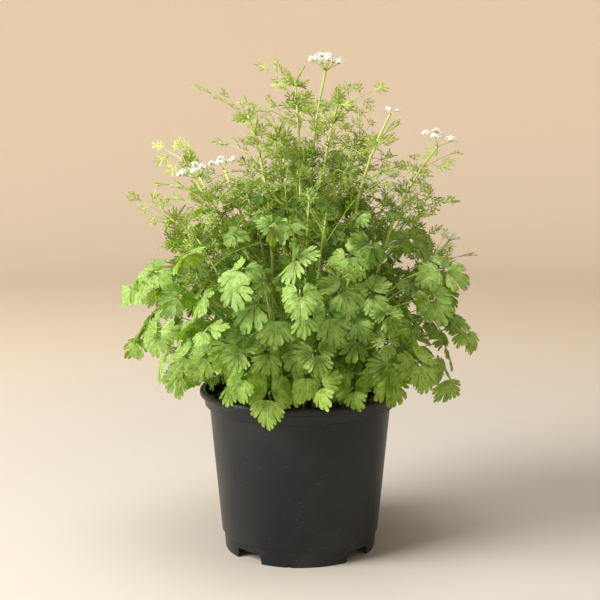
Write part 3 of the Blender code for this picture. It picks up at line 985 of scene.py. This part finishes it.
def feathery_leaf(templates, stem, start, direction, up, length, youth_and_shade, chance):
    """A finely cut leaf: a thin rib with pairs of small lobed leaflets and one at its end."""
    up = Matrix.Rotation(chance.uniform(-1.2, 1.2), 3, direction) @ up
    side = direction.cross(up).normalized()
    above = side.cross(direction).normalized()
    sag = chance.uniform(0.0, 0.25)

    def route(share):
        return start + direction * length * share - above * length * sag * share ** 2

    parts = [laid_stem(stem, route, (length * 0.022 + 0.0005, 0.0005), youth_and_shade)]
    for share, size in FEATHERY_PAIRS:
        for hand in (-1, 1):
            angle = radians(chance.uniform(55, 85)) * hand
            along = between(direction, side, angle) + above * chance.uniform(-0.25, 0.35)
            foot = route(share)
            neck = foot + along.normalized() * length * (0.16 if share < 0.5 else 0.08)
            parts.append(straight_stem(stem, foot, neck, LEAFLET_NECK_THICK, youth_and_shade))
            parts.append(laid_blade(
                chance.choice(templates), neck, along.normalized(), above + side * chance.uniform(-0.6, 0.6),
                length * size * chance.uniform(0.85, 1.15), youth_and_shade, droop=chance.uniform(-0.3, 0.6),
            ))
    end_along = (route(1.0) - route(0.9)).normalized()
    tip = chance.choice(templates)
    parts.append(laid_blade(tip, route(0.98), end_along, above, length * 0.46, youth_and_shade, droop=0.3))
    return parts


def stalk_route(stalk, azimuth):
    """The arch of a flower stalk, and the direction in which it ends."""
    away = outward(azimuth)
    foot = away * CROWN_RADIUS * (0.10 + 0.62 * stalk.reach) + UP * (SOIL - FOOT_DEPTH)
    height = PLANT_HEIGHT - (HEAD_DEPTH if stalk.headed else 0.0)
    tip = away * stalk.reach * FOLIAGE_RADIUS * 0.9 + UP * (RIM + stalk.height * (height - RIM))
    leave = leaning(azimuth, 30 * stalk.reach)
    arrive = leaning(azimuth, 8 + 38 * stalk.reach)
    return (lambda share: arch(foot, leave, tip, arrive, share)), tip, arrive


def found_azimuth(node, listed, near):
    """Where a plant piece's foot stands in the fixed frame, in degrees from the front."""
    places = [vert.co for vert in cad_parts[node].data.vertices]
    feet = [place for place in places if place.z < SOIL + FOOT_SEEN and place.xy.length < near]
    foot = sum(feet, Vector()) / len(feet)
    return degrees(atan2(foot.x, -foot.y)) if foot.xy.length > 0.002 else listed


def stalk_leaves(stalk, chance):
    """Each leaf of a stalk: its share of the stalk, its azimuth from the stalk's, its lean and its length."""
    leaves = [
        (share, turn, chance.uniform(50, 68), chance.uniform(0.036, 0.043))
        for share, turn in stalk.leaves
    ]
    turn = chance.uniform(0, 360)
    for share in STALK_SHARES:
        lean = chance.uniform(38, 68)
        leaves.append((share, turn, lean, (0.056 - 0.026 * share) * chance.uniform(0.9, 1.2)))
        turn += GOLDEN_ANGLE
    return leaves


def feather_tuft(leaflets, place, along, count, length, chance, young=(0.45, 1.0)):
    """Young feathery leaflets that spread all round from one place near a stalk's tip."""
    parts = []
    side = along.orthogonal().normalized()
    for number in range(count):
        turned = Matrix.Rotation(radians(GOLDEN_ANGLE) * number + chance.uniform(-0.3, 0.3), 3, along) @ side
        lean = radians(chance.uniform(15, 95))
        heading = between(along, turned, lean).normalized()
        tilted = Matrix.Rotation(chance.uniform(-1.0, 1.0), 3, heading) @ along.cross(heading).cross(heading)
        parts.append(laid_blade(
            chance.choice(leaflets), place, heading, -tilted, length * chance.uniform(0.75, 1.15),
            chance.uniform(*young), droop=chance.uniform(-0.3, 0.5),
        ))
    return parts


def make_stalk(number, stalk, leaflets, stem, fine_stem, chance):
    node = f"flower_stalk_{number:02d}"
    azimuth = found_azimuth(node, stalk.azimuth, CROWN_RADIUS)
    route, tip, arrive = stalk_route(stalk, azimuth)
    youth_and_shade = chance.uniform(0.55, 1.0)
    parts = [laid_stem(stem, route, STALK_THICK, youth_and_shade)]
    for share, turn, lean, length in stalk_leaves(stalk, chance):
        direction = leaning(azimuth + turn, lean)
        start = route(share)
        if (start + direction * length * 1.3).xy.length > FOLIAGE_RADIUS * 0.98:
            length *= 0.65
        youth_and_shade = chance.uniform(0.1, 0.75) if share < 0.85 else chance.uniform(0.5, 1.0)
        parts += feathery_leaf(leaflets, fine_stem, start, direction, UP, length, youth_and_shade, chance)
    if stalk.headed:
        parts += feather_tuft(leaflets, route(0.90), arrive, 4, 0.016, chance)
    else:
        parts += feather_tuft(leaflets, route(0.93), arrive, 5, 0.020, chance)
        parts += feather_tuft(leaflets, route(0.985), arrive, 9, 0.019, chance)
    ready(joined(f"stalk_{number:02d}", parts), node)
    return tip, arrive


def make_floret():
    """A flower with five notched petals, one across."""
    floret = added("floret", bpy.ops.mesh.primitive_circle_add, vertices=5, radius=0.12, fill_type="NGON")
    mode("EDIT")
    bpy.ops.mesh.select_mode(type="EDGE")
    bm = bmesh.from_edit_mesh(floret.data)
    rim = list(bm.edges)
    for edge in rim:
        middle = (edge.verts[0].co + edge.verts[1].co) / 2
        away = middle.normalized()
        side = away.cross(UP)
        corners = [bm.verts.new(away * out + side * aside + UP * up) for out, aside, up in PETAL]
        low, high = edge.verts
        if (low.co - middle).dot(side) < 0:
            low, high = high, low
        bm.faces.new([low] + corners + [high])
    bmesh.update_edit_mesh(floret.data)
    face_outward()
    mode("OBJECT")
    floret.data.uv_layers.new(name="surface")
    floret.data.materials.append(PETALS)
    return floret


def make_bud():
    """A closed flower, one across."""
    bud = added("bud", bpy.ops.mesh.primitive_ico_sphere_add, subdivisions=1, radius=0.24)
    mode("EDIT")
    pick(bud, lambda p: p.z > 0.1)
    resize((0.8, 0.8, 1.5))
    mode("OBJECT")
    bud.data.uv_layers[0].name = "surface"
    bud.data.materials.append(STEM)
    bud.data.shade_smooth()
    return bud


def make_umbel(number, tip, arrive, floret, bud, fine_stem, chance):
    """A flower head: rays that spread from the stalk's tip, each with a cluster of small flowers."""
    arrive = (arrive + UP * 1.3).normalized()
    side = arrive.cross(Vector((0.0, 1.0, 0.0))).normalized()
    other = arrive.cross(side)
    parts = []
    head = HEADS[number - 1]
    scale = head.size
    rays = head.outer + head.inner
    for ray in range(rays):
        inside = ray >= head.outer
        angle = tau * (ray + 0.3 * number) / (head.inner if inside else head.outer)
        angle += chance.uniform(-0.2, 0.2)
        outs, rises = INNER_RAY if inside else OUTER_RAY
        out = chance.uniform(*outs)
        rise = chance.uniform(*rises)
        end = tip + (arrive * rise + between(side, other, angle) * out) * scale
        along = ((end - tip).normalized() * 0.6 + arrive * 0.4).normalized()
        parts.append(straight_stem(fine_stem, tip, end, RAY_THICK, 0.9))
        for flower in range(head.flowers):
            turn = tau * flower / RING_FLOWERS + chance.uniform(-0.25, 0.25)
            lean = 2.2 if flower < RING_FLOWERS else 0.8
            facing = (along + between(side, other, turn) * lean).normalized()
            place = end + facing * chance.uniform(*PEDICEL_LENGTH) * scale
            parts.append(straight_stem(fine_stem, end, place, PEDICEL_THICK, 0.7))
            made = copy_of(bud if (flower + 1) % RING_FLOWERS == 0 else floret, "floret_copy")
            size = chance.uniform(*FLOWER_SIZE) * (0.4 + 0.6 * scale)
            turned = (facing + along * 0.15).to_track_quat("Z", "Y").to_matrix().to_4x4()
            spin = Matrix.Rotation(chance.uniform(0, 6.28), 4, "Z")
            made.data.transform(Matrix.Translation(place) @ turned @ spin @ Matrix.Scale(size, 4))
            set_youth_and_shade(made, 0.9)
            parts.append(made)
    ready(joined(f"umbel_{number:02d}", parts), f"flower_head_{number:02d}")


def dipped(away, dip):
    """The directions along and above a blade that points away from the axis and dips."""
    dip = radians(dip)
    return between(away, -UP, dip), between(UP, away, dip)


def leaf_tip(leaf, azimuth):
    return outward(azimuth) * leaf.reach * FOLIAGE_RADIUS + UP * (RIM + leaf.height * (PLANT_HEIGHT - RIM))


def broad_leaf_parts(leaf, azimuth, templates, stem, youth_and_shade, chance):
    """A broad leaf on its petiole, which arches out from the crown."""
    away = outward(azimuth)
    along, above = dipped(away, leaf.dip)
    foot_radius = CROWN_RADIUS * (0.45 + 0.55 * (1 - max(leaf.height, 0.0)))
    foot = away * foot_radius + UP * (SOIL - FOOT_DEPTH)
    leave = leaning(azimuth, 12)
    base = leaf_tip(leaf, azimuth) - along * leaf.length * 0.66
    arrive = (along + leaning(azimuth, 60)).normalized()
    route = lambda share: arch(foot, leave, base, arrive, share)
    sideways = sin(radians(azimuth)) * (1 if abs(azimuth) < 100 else -1)
    roll = chance.uniform(-0.3, 0.3) + 0.9 * sideways
    side = along.cross(above)
    stalk = laid_stem(stem, route, PETIOLE_THICK, youth_and_shade)
    above += side * roll
    return [stalk] + leafy(*templates, base, along, above, leaf.length * 1.06, youth_and_shade, chance, 1.0)


def make_broad_leaves(blades, stem, chance):
    leaves = list(FRONT_LEAVES)
    for tier in BACK_TIERS:
        leaves += [Leaf(azimuth, tier.reach, tier.height, tier.length, tier.dip) for azimuth in tier.azimuths]
    middles = []
    for number, leaf in enumerate(leaves, 1):
        node = f"broad_leaf_{number:02d}"
        azimuth = found_azimuth(node, leaf.azimuth, CROWN_RADIUS * 1.02)
        youth_and_shade = chance.uniform(0.45, 1.0)
        parts = broad_leaf_parts(leaf, azimuth, blades, stem, youth_and_shade, chance)
        ready(joined(f"leaf_{number:02d}", parts), node)
        along, _ = dipped(outward(azimuth), leaf.dip)
        middles.append(leaf_tip(leaf, azimuth) - along * leaf.length / 2)
    return middles


def make_shoots(leaflets, stem, fine_stem, chance):
    """Thin flowerless shoots between the stalks, with feathery leaves, joined by quarter."""
    quarters = [[] for _ in range(4)]
    for number in range(SHOOTS):
        azimuth = 360 * (number * EVEN_TURN % 1.0)
        share_out = 0.25 + 0.62 * (number * EVEN_RISE % 1.0)
        shoot = Stalk(azimuth, share_out, 0.74 - 0.36 * share_out + chance.uniform(-0.07, 0.07), False, ())
        route, _, arrive = stalk_route(shoot, azimuth)
        parts = quarters[int(azimuth // 90)]
        parts.append(laid_stem(stem, route, SHOOT_THICK, chance.uniform(0.6, 1.0)))
        turn = chance.uniform(0, 360)
        for share in SHOOT_SHARES:
            direction = leaning(azimuth + turn, chance.uniform(30, 75))
            length = (0.050 - 0.018 * share) * chance.uniform(0.85, 1.2)
            youth_and_shade = chance.uniform(0.05, 0.75)
            parts += feathery_leaf(leaflets, fine_stem, route(share), direction, UP, length, youth_and_shade, chance)
            turn += GOLDEN_ANGLE
        parts += feather_tuft(leaflets, route(0.985), arrive, 6, 0.015, chance, (0.1, 0.6))
    for number, parts in enumerate(quarters, 1):
        ready(joined(f"shoots_{number}", parts))


def dome_reach(height):
    for (low, near), (high, far) in zip(DOME, DOME[1:]):
        if height <= high:
            return near + (far - near) * (height - low) / (high - low)
    return DOME[-1][1]


def make_small_leaves(small, cut, leaflets, stem, fine_stem, middles, chance):
    """The many smaller leaves that fill the dome, set round it at the golden angle and joined by sector."""
    sectors = [[] for _ in range(SECTORS)]
    # The second value of each place is a light share. Inner leaves get 0.3, which paints them a darker green
    # as painted shade inside the clump.
    places = [(leaf, 1.0) for leaf in MIDDLING_LEAVES]
    middles += [outward(leaf.azimuth) * leaf.reach + UP * leaf.height for leaf in MIDDLING_LEAVES]
    for number in range(SMALL_LEAVES + INNER_LEAVES):
        inner = number >= SMALL_LEAVES
        azimuth = 360 * (number * EVEN_TURN % 1.0)
        top = (number * EVEN_RISE % 1.0) ** 1.25
        height = LEAF_LOW + LEAF_RISE * top
        inward = chance.uniform(*(INNER_INSET if inner else OUTER_INSET))
        reach = dome_reach(height) - inward
        middle = outward(azimuth) * reach + UP * height
        apart = LEAF_SPACING if height < HIGH_LEAF else HIGH_LEAF_SPACING
        if not inner and any((middle - other).length < apart for other in middles):
            continue
        middles.append(middle)
        length = chance.uniform(*SMALL_LENGTH) * (1.12 - 0.44 * top)
        dip = chance.uniform(*SMALL_DIP) * (1.05 - 0.7 * top)
        # Inner leaves: a light share of 0.3, painted shade.
        places.append((Leaf(azimuth, reach, height, length, dip), 0.3 if inner else chance.uniform(0.5, 1.0)))
    for leaf, light in places:
        azimuth = leaf.azimuth
        top = (leaf.height - LEAF_LOW) / LEAF_RISE
        away = outward(azimuth + chance.uniform(-30, 30))
        along, above = dipped(away, leaf.dip)
        base = outward(azimuth) * leaf.reach + UP * leaf.height - along * leaf.length * 0.1
        foot = outward(azimuth + chance.uniform(-14, 14)) * CROWN_RADIUS
        foot *= chance.uniform(0.15, 0.9)
        foot *= 1 - 0.4 * top
        foot += UP * (SOIL - FOOT_DEPTH)
        leave = leaning(azimuth, chance.uniform(2, 18))
        arrive = leaning(azimuth, chance.uniform(45, 85))
        route = lambda share: arch(foot, leave, base, arrive, share)
        # The light share darkens the leaf and its petiole: painted shade on top of their random tone.
        youth_and_shade = light * chance.uniform(0.3, 1.0)
        parts = sectors[int(azimuth % 360 // (360 / SECTORS))]
        parts.append(laid_stem(stem, route, SMALL_PETIOLE_THICK, chance.uniform(0.3, 0.8) * light))
        tilted = above + along.cross(above) * chance.uniform(-0.8, 0.8)
        if top > 0.84:
            parts += feathery_leaf(leaflets, fine_stem, base, along, tilted, leaf.length * 1.1, youth_and_shade, chance)
        else:
            kind = cut if top > chance.uniform(-0.1, 0.9) else small
            parts += leafy(*kind, base, along, tilted, leaf.length, youth_and_shade, chance)
    for number, parts in enumerate(sectors, 1):
        ready(joined(f"small_leaves_{number}", parts))


# The stage.


def make_stage():
    """A round pale floor whose edge sweeps up into a plain wall on every side."""
    floor = added(
        "floor", bpy.ops.mesh.primitive_circle_add,
        vertices=128, radius=STAGE_RADIUS, fill_type="NGON",
    )
    mode("EDIT")
    bpy.ops.mesh.select_all(action="SELECT")
    turns = [radians(angle) for angle in range(10, 91, 10)]
    sweep = [(STAGE_RADIUS + STAGE_SWEEP * sin(a), STAGE_SWEEP * (1 - cos(a))) for a in turns]
    drawn((STAGE_RADIUS, 0.0), sweep + [(STAGE_RADIUS + STAGE_SWEEP, WALL_TOP)])
    bpy.ops.mesh.delete(type="FACE")
    pick(floor, lambda p: abs(p.z) < 1e-6, "edges")
    bpy.ops.mesh.edge_face_add()
    mode("OBJECT")
    floor.data.shade_smooth()
    made, tree, shader, place = new_material("pale floor", 0.9)
    away = stepped(tree, length_of(tree, place), 0.3, 1.3)
    colour = blended(tree, away, (0.56, 0.515, 0.45), (0.73, 0.61, 0.47))
    tree.links.new(colour, shader.inputs["Base Color"])
    floor.data.materials.append(made)


def add_area_light(name, place, target, size, power, colour):
    deselect()
    bpy.ops.object.light_add(type="AREA", location=place)
    lamp = named(name)
    lamp.data.shape = "DISK"
    lamp.data.size = size
    lamp.data.energy = power
    lamp.data.color = colour
    lamp.rotation_euler = (Vector(target) - Vector(place)).to_track_quat("-Z", "Y").to_euler()


def add_light_and_camera():
    middle = (0.0, 0.0, 0.25)
    add_area_light("window_light", (-1.7, -0.85, 1.4), middle, 1.3, 80.0, (1.0, 0.98, 0.95))
    add_area_light("sky_light", (0.0, -0.3, 2.4), middle, 1.4, 26.0, (0.97, 0.99, 1.0))
    world = bpy.data.worlds.new("studio")
    bpy.context.scene.world = world
    world.use_nodes = True
    world.node_tree.nodes["Background"].inputs[0].default_value = (1.0, 0.97, 0.91, 1.0)
    world.node_tree.nodes["Background"].inputs[1].default_value = 0.27
    bpy.context.scene.view_settings.view_transform = "Standard"
    deselect()
    bpy.ops.object.camera_add(location=CAMERA_PLACE, rotation=(radians(90 - CAMERA_DIP), 0.0, 0.0))
    camera = named("camera")
    camera.data.lens = CAMERA_LENS
    camera.data.sensor_width = 36.0
    bpy.context.scene.camera = camera


def main():
    make_stage()
    add_light_and_camera()
    make_pot()
    make_potting_mix(random.Random(5))
    stem = make_stem(8, 14)
    petiole = make_stem(6, 9)
    fine_stem = make_stem(3, 3)
    broad = ([make_blade(f"leaflet_{row[0]}", *row, 4, 3, 88, 0.13) for row in BROAD_BLADES], [])
    small = (
        [make_blade(f"small_leaflet_{row[0]}", *row, 4, 2, 88, 0.14) for row in SMALL_BLADES],
        [make_blade(f"small_round_{row[0]}", *row, 4, 2, 122, 0.14) for row in SMALL_ROUNDS],
    )
    narrow = (
        [make_blade(f"cut_leaflet_{row[0]}", *row, 4, 1, 80, 0.26) for row in CUT_BLADES],
        [make_blade(f"cut_round_{row[0]}", *row, 4, 1, 118, 0.28) for row in CUT_ROUNDS],
    )
    rib = make_stem(3, 1)
    finger = make_finger()
    feathery = [make_feather(f"feather_{n}", finger, rib, n) for n in range(5)]
    floret = make_floret()
    bud = make_bud()
    chance = random.Random(7)
    heads = 0
    for number, stalk in enumerate(STALKS, 1):
        tip, arrive = make_stalk(number, stalk, feathery, stem, fine_stem, chance)
        if stalk.headed:
            heads += 1
            make_umbel(heads, tip, arrive, floret, bud, fine_stem, chance)
    make_shoots(feathery, petiole, fine_stem, random.Random(17))
    middles = make_broad_leaves(broad, petiole, random.Random(11))
    make_small_leaves(small, narrow, feathery, petiole, fine_stem, middles, random.Random(13))
    used = [stem, petiole, fine_stem, rib, finger, floret, bud]
    for template in used + sum(broad + small + narrow, feathery):
        bpy.data.objects.remove(template)


main()
